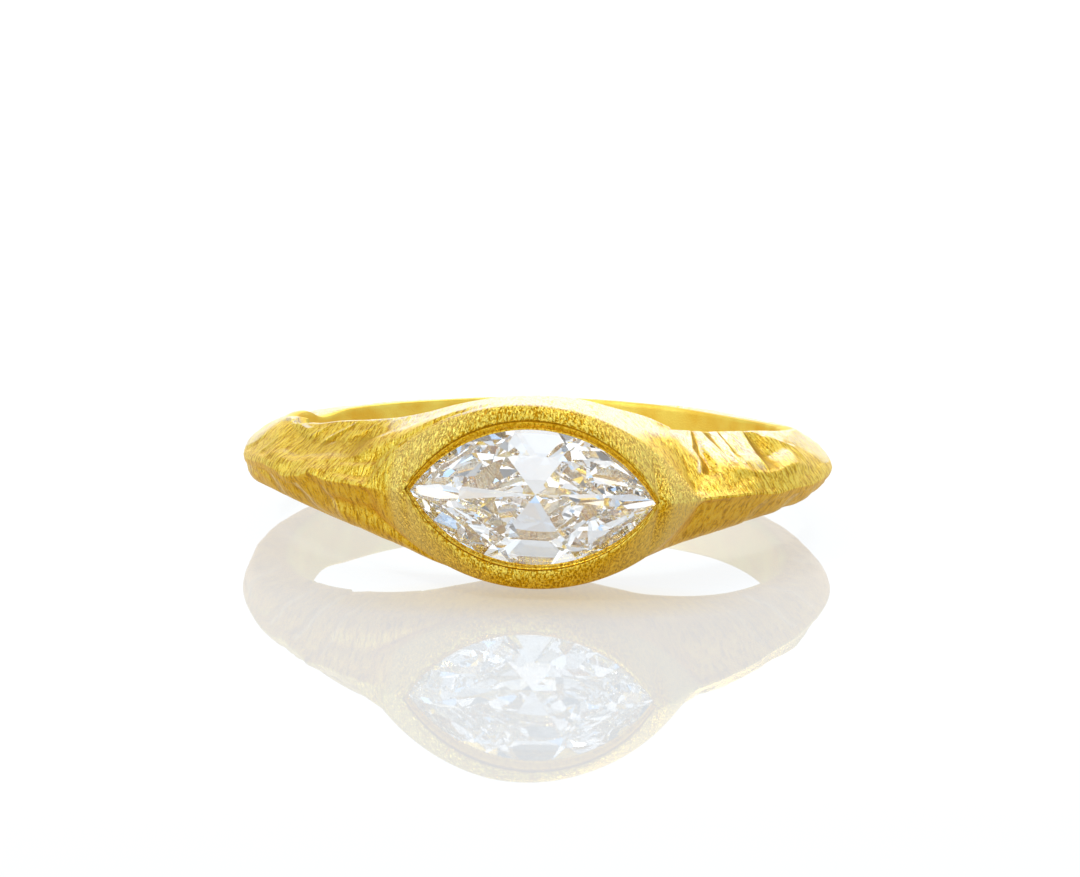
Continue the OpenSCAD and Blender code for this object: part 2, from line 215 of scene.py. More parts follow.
# Directions in the room: the white card that the stone's middle shows, and the soft fill
CARD_WAY = (-0.236, -0.946, 0.222)
FILL_WAY = (-0.86, -0.49, 0.13)

# Lamps: name, place in metres, width in metres, power in watts
LAMPS = (
    ("key_light", (-0.16, -0.10, 0.26), 0.06, 0.20),
    ("hair_light", (0.08, 0.18, 0.24), 0.09, 0.16),
)

# Half the acrylic's width in metres, and what a place on it is multiplied by and moved by, so that
# the edge of the painted warm shadow under the ring's head lies at a length of 1
FLOOR_HALF, SHADOW_PATCH_SCALE, SHADOW_PATCH_SHIFT = 0.8, (130, 330, 0), (0, 3.70, 0)

# How often a ray may bounce, so that it gets out of the stone
STONE_BOUNCES = 32

# Where the camera aims, from the bore's axis: sideways in metres, and height above the floor
AIM_ASIDE, AIM_HEIGHT = 0.00009, 0.0030


# Properties


def number(name, description, default, low, high, **kind):
    """A number that a user may change, in the unit that its description or its kind gives."""
    return bpy.props.FloatProperty(
        name=name, description=description, default=default, min=low, max=high, **kind)


def colour(name, description, default):
    """A colour that a user may change."""
    return bpy.props.FloatVectorProperty(
        name=name, description=description, subtype="COLOR", default=default, min=0, max=1)


class RingSizes(bpy.types.PropertyGroup):
    """Sizes of the ring in its own frame, in millimetres and degrees."""

    bore: number("Bore radius", "Radius of the finger bore in mm", BORE["dims"]["r_mm"], 8.2, 9)
    rim_front: number("Rim front", "From the bore's axis to the rim's front in mm", 12.5, 12, 13)
    setting_x: number("Setting sideways", "Sideways place of the stone's middle in mm", -0.17, -1, 1)
    setting_z: number("Setting height", "Upright place of the stone's middle in mm", -0.13, -1, 1)
    yaw: number("Setting yaw", "Turn of the stone about the bore's axis in degrees", 7.0, -15, 15)
    turn: number("Setting turn", "Turn of the stone in its own plane in degrees", 1.8, -10, 10)
    rim_length: number("Rim half length", "Half length of the rim's outer outline in mm", 5.9, 5, 7)
    rim_width: number("Rim half width", "Half width of the rim's outer outline in mm", 3.2, 2.8, 3.6)
    inner_width: number("Rim inner half width", "Half width of its inner edge in mm", 2.6, 2.5, 2.8)
    lip_width: number("Lip half width", "Half width of the opening in mm", 2.35, 2.3, 2.42)
    back_width: number("Back half width", "Half width of the open back in mm", 1.85, 1.8, 1.95)
    stone_length: number("Stone half length", "Half length of the stone's girdle in mm", 4.36, 4, 5)
    stone_width: number("Stone half width", "Half width of the stone's girdle in mm", 2.5, 2.2, 2.8)
    bevel_shift: number(
        "Bevel shift", "Rise of the rim's inner edge above the stone's middle in mm", 0.07, 0, 0.1)
    rim_merge: number(
        "Rim merge", "Height left between the rim's line and the ridge in mm", 0.16, 0.05, 0.4)
    rim_dome: number("Rim dome", "Rise of the rim's face between its edges in mm", 0.07, 0, 0.2)
    carving: number("Carving", "Strength of the carved strokes, 1 as on the real ring", 1.0, 0, 1.5)


class RingFinish(bpy.types.PropertyGroup):
    """Colours and textures of the gold, the stone and the acrylic, with painted highlights, glints and
    shade on the gold and a painted warm shadow on the acrylic.
    """

    gold: colour("Gold", "Colour of the brushed gold", (0.90, 0.59, 0.045))
    # Painted highlight: paler gold on faces that look up stands in for the light from above.
    gold_painted_highlight: colour("Pale gold", "Colour of the brushed gold where it faces up", (0.98, 0.91, 0.76))
    # Deep colour of the brush-line grain, and painted shade in the bevel's groove.
    gold_deep_grain_and_groove_shade: colour("Deep gold", "Colour in the brush lines and hollows", (0.50, 0.23, 0.002))
    # Painted shade: deeper amber on faces that look down stands in for the dimmer light from below; in
    # the bore it also makes random amber patches.
    gold_underside_shade_and_amber: colour("Amber gold", "Colour of the brushed gold where it faces down", (0.86, 0.44, 0.006))
    # Painted shade on the steep faces of the knife strokes and in the hollows.
    gold_cut_painted_shade: colour("Cut gold", "Colour on the steep faces of the knife strokes", (0.36, 0.215, 0.020))
    # Painted glint on the brightest grains, stronger on faces that look up, and on the rim's sides.
    gold_painted_glint: colour("Spark gold", "Colour of the brightest grains of the gold", (1.0, 0.78, 0.14))
    # Painted light: a brighter gold in the bore stands in for light that its shade keeps out.
    gold_bore_painted_light: colour(
        "Bore gold", "Colour of the smoother gold inside the finger hole", (1.0, 0.78, 0.15))
    gold_edge: colour(
        "Edge gold", "Tint of the gold where it is seen at a low angle", (1.0, 0.94, 0.72))
    roughness: number(
        "Gold roughness", "Roughness of the brushed gold", 0.34, 0, 1, subtype="FACTOR")
    brush: number("Brush depth", "Depth of the brush lines in mm", 0.042, 0, 0.1)
    grain: number("Grain depth", "Depth of the rim's grain in mm", 0.040, 0, 0.1)
    stone: colour("Stone", "Tint of the diamond", (0.985, 0.99, 1.0))
    acrylic: colour("Acrylic", "Colour of the white acrylic", (0.24, 0.25, 0.26))
    acrylic_glow: number(
        "Acrylic glow", "Light that comes through the acrylic from below", 0.49, 0, 2)
    acrylic_gloss: colour("Acrylic gloss", "Tint of the acrylic's mirror image", (0.72, 0.84, 1.0))


class RingStage(bpy.types.PropertyGroup):
    """Camera and light."""

    elevation: number(
        "Camera elevation", "Height of the camera above the floor", math.radians(12.2), 0, 1.5,
        subtype="ANGLE")
    distance: number(
        "Camera distance", "Distance of the camera from the ring", 0.38, 0.1, 2, unit="LENGTH")
    frame_width: number(
        "Frame width", "Width of the view at the ring", 0.03850, 0.01, 0.2, unit="LENGTH")
    roll: number(
        "Camera roll", "Roll of the camera about its view", math.radians(0.66), -0.5, 0.5,
        subtype="ANGLE")
    front: number("Front light", "Brightness of the room on the camera's side", 0.90, 0, 4)
    side: number("Side light", "Brightness of the room on both sides", 0.82, 0, 4)
    back: number("Back light", "Brightness of the white sweep behind the ring", 1.42, 0, 4)
    top: number("Top light", "Brightness of the white ceiling", 0.84, 0, 4)


# Shapes


def smooth(x, low, high):
    """0 below low, 1 above high, and 3t2 - 2t3 between them, with t the share of the way."""
    t = np.clip((x - low) / (high - low), 0, 1)
    return t * t * (3 - 2 * t)


def ripple(phi, across, seed):
    """A sum of seven sines of angle and distance with fixed phases, from about -1 to 1."""
    total = 0.0
    for k in range(1, 8):
        phase = math.sin(seed * 12.9898 + k * 78.233) * 43.758
        wave = np.radians(phi) * (5 * k + seed % 4) + across * (0.9 + 0.5 * k)
        total = total + np.sin(wave + phase) / k**0.5
    return total / 2.6


def row_before(x, phi):
    """Number of a table's last row at or before an angle, but never of its last row."""
    return np.clip(np.searchsorted(x, phi, side="right") - 1, 0, len(x) - 2)


def column(phi, c):
    """A column of the section table at an angle, on a Hermite curve through its rows. A row's
    slope is the slope between its two neighbours."""
    x, y = SECTIONS[:, PHI], SECTIONS[:, c]
    n = len(x) - 1
    i = row_before(x, phi)
    gap = np.diff(x)
    slope = (y[1:] - np.r_[y[n - 1], y[:n - 1]]) / (np.r_[gap[-1], gap[:-1]] + gap)
    slope = np.r_[slope, slope[0]]
    t = (phi - x[i]) / gap[i]
    return ((2 * t**3 - 3 * t**2 + 1) * y[i] + (t**3 - 2 * t**2 + t) * slope[i] * gap[i]
            + (3 * t**2 - 2 * t**3) * y[i + 1] + (t**3 - t**2) * slope[i + 1] * gap[i])


def wander(phi):
    """Rise of the ridge at an angle, along smooth steps between the rows of its table."""
    x, y = RIDGE_WANDER.T
    i = row_before(x, phi)
    return y[i] + (y[i + 1] - y[i]) * smooth(phi, x[i], x[i + 1])


def oval(u, a, b):
    """Half height of a pointed oval at u from its middle: an arc of radius (a2 + b2) / 2b through
    the tips at +-a, whose top is b high."""
    r = (a * a + b * b) / (2 * b)
    return np.where(np.abs(u) >= a, 0.0, np.sqrt(np.maximum(r * r - u * u, 0)) - (r - b))


def cos_sin(degrees):
    """Cosine and sine of an angle."""
    angle = math.radians(degrees)
    return math.cos(angle), math.sin(angle)


def around(r, phi, z):
    """Points of the ring's frame at a radius, an angle in degrees from the stone, and a height."""
    f = np.radians(phi)
    return np.stack([r * np.sin(f), -r * np.cos(f), z], -1)


def on_stone(s, u, v, w):
    """A point of the stone's frame (u along it, v across, w out of its table) in the ring's frame."""
    cy, sy = cos_sin(s.yaw)
    ct, st = cos_sin(s.turn)
    u, v = u * ct + v * st, -u * st + v * ct
    return np.stack(np.broadcast_arrays(
        s.setting_x + u * cy - w * sy, -s.rim_front - u * sy - w * cy, s.setting_z + v), -1)


def on_bore(s, u, v):
    """Where the line through (u, v) along the stone's axis first meets the bore."""
    p = on_stone(s, u, v, 0.0)
    cy, sy = cos_sin(s.yaw)
    b = p[..., 0] * sy - p[..., 1] * cy
    gap = b - np.sqrt(b * b - (p[..., 0]**2 + p[..., 1]**2 - s.bore**2))
    return on_stone(s, u, v, -gap)


def polar(p):
    """Angle in degrees, 0 at the stone, and radius of points of the ring's frame."""
    return np.degrees(np.arctan2(p[..., 0], -p[..., 1])), np.hypot(p[..., 0], p[..., 1])


def scaled_length(s, b):
    """Half length of an outline of half width b that is cut like the stone's."""
    return s.stone_length * math.sqrt(b / s.stone_width)


def inner_length(s):
    """Half length of the rim's inner edge, which runs close round the stone's tips."""
    return s.stone_length + TIP_ROOM


def rim_line(s, phi, side):
    """Height of the rim's outer outline at an angle, or of the ridge's flank beyond its tips."""
    ct, st = cos_sin(s.turn)
    u = (column(phi, RIM_R) * np.sin(np.radians(phi)) - s.setting_x) / cos_sin(s.yaw)[0]
    z = s.setting_z - u * st + side * oval(u, s.rim_length, s.rim_width) * ct
    least = column(phi, RIDGE_Z) + side * s.rim_merge
    return np.where(np.abs(phi) > RIM_END, least, side * np.maximum(side * z, side * least))


def rounded(points, radii, steps):
    """A polyline through control points with each inner corner replaced by a quadratic curve.

    points is (stations, controls, 2), radii how far a corner's curve reaches along its legs and
    steps the number of steps on each leg. Gives the samples and their place as a control number,
    of which a corner takes up 0.12 and a leg the rest."""
    leg = np.linalg.norm(np.diff(points, axis=1), axis=2)
    last = points.shape[1] - 1
    line, place, start = [], [], points[:, 0]
    for k in range(1, last + 1):
        here = points[:, k]
        end = here
        if k < last:
            reach = np.minimum(radii[k], 0.42 * np.minimum(leg[:, k - 1], leg[:, k]))[:, None]
            end = here + (points[:, k - 1] - here) * reach / leg[:, k - 1, None]
            away = here + (points[:, k + 1] - here) * reach / leg[:, k, None]
        t = np.linspace(0, 1, steps[k - 1] + 1)[min(k - 1, 1):, None]
        line.append(start[:, None] * (1 - t) + end[:, None] * t)
        place.append(k - 0.94 + 0.88 * t[:, 0])
        if k < last:
            t = np.array([0.25, 0.5, 0.75, 1.0])[:, None]
            curve = (1 - t)**2 * end[:, None] + 2 * t * (1 - t) * here[:, None] + t * t * away[:, None]
            line.append(curve)
            place.append(k - 0.06 + 0.12 * t[:, 0])
            start = away
    return np.concatenate(line, 1), np.concatenate(place)


def chipped(phi, z, side):
    """Heights cut down to the floors of the chips on one edge. A floor runs from the foot of its
    step to the edge where the chip ends."""
    c = SIDE_COLUMNS[side][1]
    for step, end, depth, at in CHIPS:
        if at != side:
            continue
        t = (phi - step) / (end - step)
        foot = column(np.array(float(step)), c) - side * depth
        floor = foot + (column(np.array(float(end)), c) - foot) * t
        floor = floor + side * 3 * (1 - smooth(phi, step - 0.1, step + 0.25))
        z = np.where((phi > step - 0.1) & (t < 1), side * np.minimum(side * z, side * floor), z)
    return z


def stroke_runs(phi, share, side):
    """The strokes of one side. Each comes with the place along its run, 0 at the sharp edge and 1
    where it has risen again, the share of the way from its start to its end, and its other
    values in the table."""
    for at, line, slant, run, last_run, most, bite, low, high in STROKES:
        if at == side:
            way = np.clip((share - low) / (high - low), 0, 1)
            along = (phi - (line + slant * share)) / (run + (last_run - run) * way)
            yield along, way, most, bite, low, high


def strokes(phi, share, side):
    """Depth of the knife strokes: each falls to its depth over the bite, steepest at its edge, and
    rises evenly to nothing over the rest of its run, between its two shares of the flank."""
    depth = 0.0
    for along, way, most, bite, low, high in stroke_runs(phi, share, side):
        fall = 1 - (1 - np.clip(along / bite, 0, 1))**2
        cut = fall * (1 - np.clip((along - bite) / (1 - bite), 0, 1))
        within = smooth(share, low - 0.04, low + 0.04) * (1 - smooth(share, high - 0.06, high))
        depth = depth + most * (FIRST_CUT + (1 - FIRST_CUT) * way) * cut * within
    return depth


def carving_painted_light(phi, share, side):
    """Painted light of the carving: up to 1 for painted shade on the steep face of a stroke and in the
    hollows, and down to -1 for a painted highlight on a narrow band along a stroke's edge and on the
    band along the crest."""
    tone = -HOLLOW_PAINTED_SHADE * np.minimum(swellings(phi, share, side), 0)
    for along, _, most, bite, low, high in stroke_runs(phi, share, side):
        stroke_painted_shade = smooth(along, -0.02, 0.05) * (1 - smooth(along, 0.4 * bite, 1.3 * bite))
        edge_painted_highlight = smooth(along, -0.30, -0.16) * (1 - smooth(along, -0.05, 0.0))
        within = smooth(share, low - 0.02, low + 0.04) * (1 - smooth(share, high - 0.05, high + 0.02))
        tone = tone + min(1, most / FULL_PAINTED_SHADE_DEPTH) * within * (stroke_painted_shade - edge_painted_highlight)
    if side > 0:
        tone = tone - 0.9 * crest_painted_highlight(phi, share)
    return np.clip(tone, -1, 1)


def crest_painted_highlight(phi, share):
    """1 on the painted highlight band along the upper crest of both shoulders. It starts beside the
    notch, grows from a third of the flank to all of it where the ring turns away, and fades behind."""
    far = np.abs(phi)
    reach = 0.24 + 0.026 * np.maximum(far - 66, 0)
    along = np.where(phi < 0, smooth(far, 64, 70), smooth(far, 57, 63)) - smooth(far, 100, 112)
    return along * (1 - smooth(share, reach - 0.12, reach + 0.08))


def painted_highlight_reach(phi, share):
    """How much of the painted highlight a face that looks up may take: all of it beside the rim and
    above the break of a shoulder's flank, and a tenth below the break."""
    return 1 - 0.9 * smooth(np.abs(phi), 24, 30) * smooth(share, 0.46, 0.56)


def swellings(phi, share, side):
    """Height of the soft swellings and hollows, each a bell in angle and in share."""
    height = 0.0
    for at, angle, middle, reach, width, rise in SWELLINGS:
        if at == side:
            height = height + rise * np.exp(-((phi - angle) / reach)**2 - ((share - middle) / width)**2)
    return height


def folds(phi, place, side):
    """Height of the folds and dips beside the rim's left tip, each a bell across the section."""
    start, full, fade, gone = FOLD_SPAN[side]
    by_rim = smooth(phi, start, full) - smooth(phi, fade, gone)
    height = 0.0
    for at, middle, reach, rise in FOLDS:
        if at == side:
            height = height + rise * by_rim * np.exp(-((place - middle) / reach)**2)
    return height


def relief(s, phi, place, side):
    """How far the carving lies outside the plain faces: the rim's dome, which is a parabola across
    it, and the folds, swellings, unevenness and knife strokes of the flanks."""
    share = np.clip((place - 1) / 2, 0, 1)
    on_flank = smooth(place, 1.0, 1.25) * (1 - smooth(place, 2.75, 3.0))
    beside = smooth(np.abs(phi), 20, 30)
    t = np.clip(place - 3, 0, 1)
    dome = s.rim_dome * 4 * t * (1 - t) * (1 - smooth(np.abs(phi), 22, 30))
    uneven = 0.026 * ripple(phi, share * 3, 3 + side) + 0.016 * ripple(2.3 * phi, share * 5, 8 + side)
    uneven = uneven * on_flank * (0.35 + 0.65 * beside)
    carved = folds(phi, place, side) + swellings(phi, share, side) + uneven
    return dome + s.carving * (carved - strokes(phi, share, side) * beside)


def half_shell(s, phi, side, in_setting, edge, centre, tips):
    """One half of the band as a grid, from the bore's middle line round its edge to the ridge.

    Each station is a section at one angle. In the setting its last point is on the rim's inner
    edge, and elsewhere on the ridge, which runs into the rim's tips over four degrees."""
    crest_r, crest_z, flank_r, flank_z = (column(phi, c) for c in SIDE_COLUMNS[side])
    edge_z = crest_z - side * EDGE_EASE * (1 - BORE_OVERLAP / (crest_r - s.bore + BORE_OVERLAP))
    rise = wander(phi) * s.carving
    tip_r, tip_z, near = tips
    ridge_r = column(phi, RIDGE_R) * (1 - near) + tip_r * near
    ridge_z = (column(phi, RIDGE_Z) + rise) * (1 - near) + tip_z * near
    end_r = np.where(in_setting, polar(edge)[1], ridge_r)
    end_z = np.where(in_setting, edge[:, 2], ridge_z + side * RIDGE_HALF)
    controls = (
        (np.full_like(phi, s.bore), edge_z), (crest_r, crest_z), (flank_r, flank_z),
        (column(phi, RIM_R), rim_line(s, phi, side) + rise), (end_r, end_z))
    controls = np.stack([np.stack(c, -1) for c in controls], 1)
    line, place = rounded(controls, CORNER_REACH, LEG_STEPS)
    run = np.gradient(line, axis=1)
    run /= np.linalg.norm(run, axis=2, keepdims=True)
    angle = phi[:, None] + np.zeros(line.shape[:2])
    push = relief(s, angle, place[None, :] + np.zeros_like(angle), side)
    push[:, -1] = 0
    r = np.maximum(line[..., 0] - side * run[..., 1] * push, s.bore)
    z = chipped(angle, line[..., 1] + side * run[..., 0] * push, side)
    t = np.linspace(0, 1, WALL_STEPS + 1)[None, :-1]
    angle = np.concatenate([centre[0][:, None] * (1 - t) + phi[:, None] * t, angle], 1)
    z = np.concatenate([centre[1][:, None] * (1 - t) + z[:, :1] * t, z], 1)
    r = np.concatenate([np.full((len(phi), t.shape[1]), s.bore), r], 1)
    seam = around(ridge_r + RIDGE_RISE, phi, ridge_z)
    return around(r, angle, z), seam, np.concatenate([t[0] - 1, place]), angle


def seat_levels(s):
    """Levels of the seat from the rim's inner edge to its back: w, half length, half width and
    shift across. A fine groove, the bevel, which is wider above the stone than below it, a raised
    lip, the pocket of the girdle and the open back."""
    length, width = inner_length(s), s.inner_width
    inmost = BEVEL[-1][1]
    top = [
        (-w, length - TIP_SHARE * d, width - d, s.bevel_shift * (1 - d / inmost)) for w, d in BEVEL]
    lip = [(-w, s.stone_length - TIP_COVER, s.lip_width, 0) for w in LIP_DEPTHS]
    girdle = (s.stone_length + POCKET_ROOM[0], s.stone_width + POCKET_ROOM[1])
    pocket = [(-w, *girdle, 0) for w in POCKET_DEPTHS]
    back = [(-w, *open_back(s), 0) for w in BACK_DEPTHS]
    return top + lip + pocket + back


def open_back(s):
    """Half length and half width of the open back."""
    return scaled_length(s, s.back_width) + BACK_ROOM[0], s.back_width + BACK_ROOM[1]


def outward(tip, back):
    """Angles from a tip to the ring's back, at fine steps as far as NEAR_END degrees."""
    split = math.copysign(NEAR_END, back)
    near = np.linspace(tip, split, int(abs(split - tip) / NEAR_STEP))
    far = np.linspace(split, back, int(abs(back - split) / FAR_STEP))
    return np.r_[near[1:], far[1:]]


def stations(left, u, right):
    """First and last station of the setting, the numbers of all stations, and which of them are in
    the setting."""
    first, last = len(left), len(left) + len(u) - 1
    at = np.arange(last + 1 + len(right))
    return first, last, at, (at >= first) & (at <= last)


def side_shell(s, side, u, left, right):
    """Points, places and angles of one half of the band, at the stations left of the setting, in it
    and right of it. Its last column is the line that joins it to the other half or to the seat."""
    half = inner_length(s)
    h = oval(u, half, s.inner_width)
    first, last, at, in_setting = stations(left, u, right)
    end = np.where(at < len(at) / 2, 0, 1)
    tips = on_stone(s, u[[0, -1]], s.bevel_shift, 0.0)
    tip_phi, tip_r = polar(tips)
    rim_edge = on_stone(s, u, side * np.maximum(h, 0.01) + s.bevel_shift, 0.0)
    phi = np.r_[left, polar(rim_edge)[0], right]
    phi[[first, last]] = tip_phi
    edge = np.zeros((len(at), 3))
    edge[first:last + 1] = rim_edge

    back_length, back_width = open_back(s)
    back_u = u * back_length / half
    opening = on_bore(s, back_u, side * oval(back_u, back_length, back_width))
    shift = np.abs(phi - tip_phi[end])
    near = np.where(in_setting, 1.0, 1 - smooth(shift, 0, TIP_BLEND))
    melt = np.where(in_setting, 1.0, 1 - smooth(shift, 0, WALL_BLEND))
    opening = opening[np.clip(at - first, 0, len(u) - 1)]
    open_phi = polar(opening)[0]
    middle = (column(phi, CREST_Z) + column(phi, BASE_Z)) / 2
    centre_phi = np.where(in_setting, open_phi, phi + (open_phi - tip_phi[end]) * melt)
    centre_z = middle * (1 - melt) + opening[:, 2] * melt
    points, seam, place, angle = half_shell(
        s, phi, side, in_setting, edge, (centre_phi, centre_z), (tip_r[end], tips[end, 2], near))
    inside = side * np.maximum(h - SEAM_IN, 0) + s.bevel_shift
    seam[first:last + 1] = on_stone(s, u * (1 - SEAM_IN / half), inside, -SEAM_DEPTH)
    points = np.concatenate([points, seam[:, None]], 1)
    return points, np.r_[place, SEAM_PLACE], np.concatenate([angle, phi[:, None]], 1)


def shell_marks(side, shell, in_setting):
    """Marks of a half's points: the brush coordinates, which run round the ring and across the
    section from the ridge, and the others in the order of MARKS."""
    xyz, place, angle = shell
    step = np.linalg.norm(np.diff(xyz, axis=1), axis=2)
    across = np.concatenate([np.zeros((len(xyz), 1)), np.cumsum(step, 1)], 1)
    p = side * (across[:, -1:] - across)
    brush = around(BRUSH_RADIUS, angle, p)
    place = place[None, :] + 0 * p
    share = np.clip((place - 1) / 2, 0, 1)
    rim = smooth(place, 2.95, 3.05) * (1 - smooth(np.abs(angle - GRAIN_MIDDLE), GRAIN_FADE, GRAIN_GONE))
    seat = (place > 4.03) * in_setting[:, None]
    bore = 1 - smooth(place, 0.9, 1.02)
    outside = smooth(place, 0.9, 1.02) * (1 - smooth(place, 2.9, 3.1))
    # Painted shade on the strokes' steep faces and in hollows, painted highlight along edges and the
    # crest.
    cut = carving_painted_light(angle, share, side) * outside * smooth(np.abs(angle), 20, 28)
    shares = (rim, seat, bore, cut, painted_highlight_reach(angle, share))
    return [brush.reshape(-1, 3)] + [mark.ravel() for mark in shares]


def seat_wall(s, side, u):
    """Points of one half of the seat's wall: a pointed oval at each of its levels, with a point for
    each point of the rim's inner edge."""
    half = inner_length(s)
    ovals = [(u * length / half, length, width, shift, w) for w, length, width, shift in seat_levels(s)]
    return np.stack([
        on_stone(s, along, side * oval(along, length, width) + shift, w)
        for along, length, width, shift, w in ovals], 1)


def wall_marks(side, u, levels):
    """Marks of the seat's wall, whose brush coordinates are its length and a depth of 0 to 2."""
    depth = np.linspace(0, 2, levels)[None, :] + 0 * u[:, None]
    brush = np.stack([u[:, None] + 0 * depth, side * 12 + 0 * depth, depth], -1)
    none = np.zeros(depth.size)
    return [brush.reshape(-1, 3), none, np.ones(depth.size), none, none, none]


def ring_surface(s):
    """Points, quads and marks of the whole band as one closed surface.

    Two half shells meet along the ridge and along the bore's middle line. In the setting they
    part, and stacks of pointed ovals join them there as the wall of the seat."""
    half = inner_length(s)
    u = np.linspace(-half, half, SETTING_STEPS + 1)
    tip_phi = polar(on_stone(s, u[[0, -1]], s.bevel_shift, 0.0))[0]
    left = outward(tip_phi[0], -180)[::-1]
    right = outward(tip_phi[1], 180)[:-1]
    first, last, at, in_setting = stations(left, u, right)
    joined = (at <= first) | (at >= last)

    shells = {side: side_shell(s, side, u, left, right) for side in (-1, 1)}
    rows, cols = shells[1][0].shape[:2]
    low = np.arange(rows * cols).reshape(rows, cols)
    high = low + rows * cols
    for k in (0, cols - 1):
        high[joined, k] = low[joined, k]
    grids = {-1: low, 1: high}
    points = [shells[side][0].reshape(-1, 3) for side in (-1, 1)]
    marks = [shell_marks(side, shells[side], in_setting) for side in (-1, 1)]
    quads = [grid_quads(grids[side], True, side > 0) for side in (-1, 1)]

    base = 2 * rows * cols
    walls = {}
    for side in (-1, 1):
        xyz = seat_wall(s, side, u)
        grid = np.arange(xyz.shape[0] * xyz.shape[1]).reshape(xyz.shape[:2]) + base
        base += grid.size
        walls[side] = grid
        if side > 0:
            grid[[0, -1]] = walls[-1][[0, -1]]
        shell = grids[side][first:last + 1]
        full = np.concatenate([shell[:, -1:], grid, shell[:, :1]], 1)
        quads.append(grid_quads(full, False, side > 0))
        points.append(xyz.reshape(-1, 3))
        marks.append(wall_marks(side, u, grid.shape[1]))

    quads = np.concatenate(quads)
    points = np.concatenate(points)
    used = np.zeros(len(points), bool)
    used[quads.ravel()] = True
    numbers = np.cumsum(used) - 1
    marks = [np.concatenate(mark)[used] for mark in zip(*marks)]
    return points[used], numbers[quads], marks


def grid_quads(grid, wrap, flip):
    """Quads between the neighbouring rows and columns of a grid of point numbers."""
    rows = grid.shape[0]
    i = np.arange(rows if wrap else rows - 1)[:, None]
    j = np.arange(grid.shape[1] - 1)[None, :]
    k = (i + 1) % rows
    corners = [grid[i, j], grid[k, j], grid[k, j + 1], grid[i, j + 1]]
    return np.stack(corners[::-1] if flip else corners, -1).reshape(-1, 4)


def lie_down(points):
    """Points of the ring's frame in metres as it lies: leaned about X, moved to its axis."""
    c, s = math.cos(AXIS_LEAN), math.sin(AXIS_LEAN)
    x, y, z = points.T
    return (np.stack([x, y * c + z * s, -y * s + z * c], -1) + AXIS_POINT) * MM


def put_mesh(name, points, faces, smooth_shade=True):
    """A mesh object at the origin with its place in its points."""
    mesh = bpy.data.meshes.new(name)
    mesh.vertices.add(len(points))
    mesh.vertices.foreach_set("co", np.asarray(points, np.float32).ravel())
    mesh.loops.add(faces.size)
    mesh.loops.foreach_set("vertex_index", faces.astype(np.int32).ravel())
    mesh.polygons.add(len(faces))
    mesh.polygons.foreach_set("loop_start", np.arange(0, faces.size, faces.shape[1], dtype=np.int32))
    mesh.polygons.foreach_set("use_smooth", np.full(len(faces), smooth_shade))
    mesh.update(calc_edges=True)
    if mesh.validate():
        raise RuntimeError(f"{name} had broken faces")
    piece = bpy.data.objects.new(name, mesh)
    bpy.context.scene.collection.objects.link(piece)
    return piece


# Materials


class Nodes:
    """A material's or world's nodes, with short ways to add and join them."""

    def __init__(self, tree):
        self.tree = tree
        tree.nodes.clear()

    def add(self, kind, inputs=None, **settings):
        node = self.tree.nodes.new(kind)
        for name, value in settings.items():
            setattr(node, name, value)
        for name, value in (inputs or {}).items():
            socket = node.inputs[name]
            if isinstance(value, bpy.types.NodeSocket):
                self.tree.links.new(value, socket)
            else:
                socket.default_value = value
        return node

    def finish(self, output, shader):
        out = self.add(output)
        self.tree.links.new(shader.outputs[0], out.inputs["Surface"])

    def mark(self, name, output="Fac"):
        return self.add("ShaderNodeAttribute", attribute_name=name).outputs[output]

    def coordinate(self, kind):
        return self.add("ShaderNodeTexCoord").outputs[kind]

    def parts(self, vector):
        return self.add("ShaderNodeSeparateXYZ", {0: vector}).outputs

    def math(self, operation, a, b=0.0, c=0.0):
        return self.add("ShaderNodeMath", {0: a, 1: b, 2: c}, operation=operation).outputs[0]

    def times(self, a, b):
        return self.math("MULTIPLY", a, b)

    def larger(self, a, b):
        return self.math("MAXIMUM", a, b)

    def rest(self, share):
        return self.math("SUBTRACT", 1.0, share)

    def vector(self, operation, a, b=(0, 0, 0), c=(0, 0, 0), output="Vector"):
        return self.add("ShaderNodeVectorMath", {0: a, 1: b, 2: c}, operation=operation).outputs[output]

    def mix(self, factor, a, b):
        a, b = (c if isinstance(c, bpy.types.NodeSocket) else (*c, 1) for c in (a, b))
        return self.add("ShaderNodeMix", {0: factor, 6: a, 7: b}, data_type="RGBA").outputs[2]

    def blend(self, factor, a, b):
        return self.add("ShaderNodeMix", {0: factor, 2: a, 3: b}, data_type="FLOAT").outputs[0]

    def span(self, value, low, high, to_low=0.0, to_high=1.0):
        return self.add("ShaderNodeMapRange", {
            "Value": value, "From Min": low, "From Max": high,
            "To Min": to_low, "To Max": to_high}).outputs[0]

    def noise(self, vector, scale, detail=2.0, rough=0.5, distortion=0.0):
        return self.add("ShaderNodeTexNoise", {
            "Vector": vector, "Scale": scale, "Detail": detail, "Roughness": rough,
            "Distortion": distortion}).outputs["Fac"]

    def stretch(self, vector, size):
        return self.add("ShaderNodeMapping", {"Vector": vector, "Scale": size}).outputs[0]


def new_material(name):
    """A material and its nodes."""
    mat = bpy.data.materials.new(name)
    mat.use_nodes = True
    return mat, Nodes(mat.node_tree)


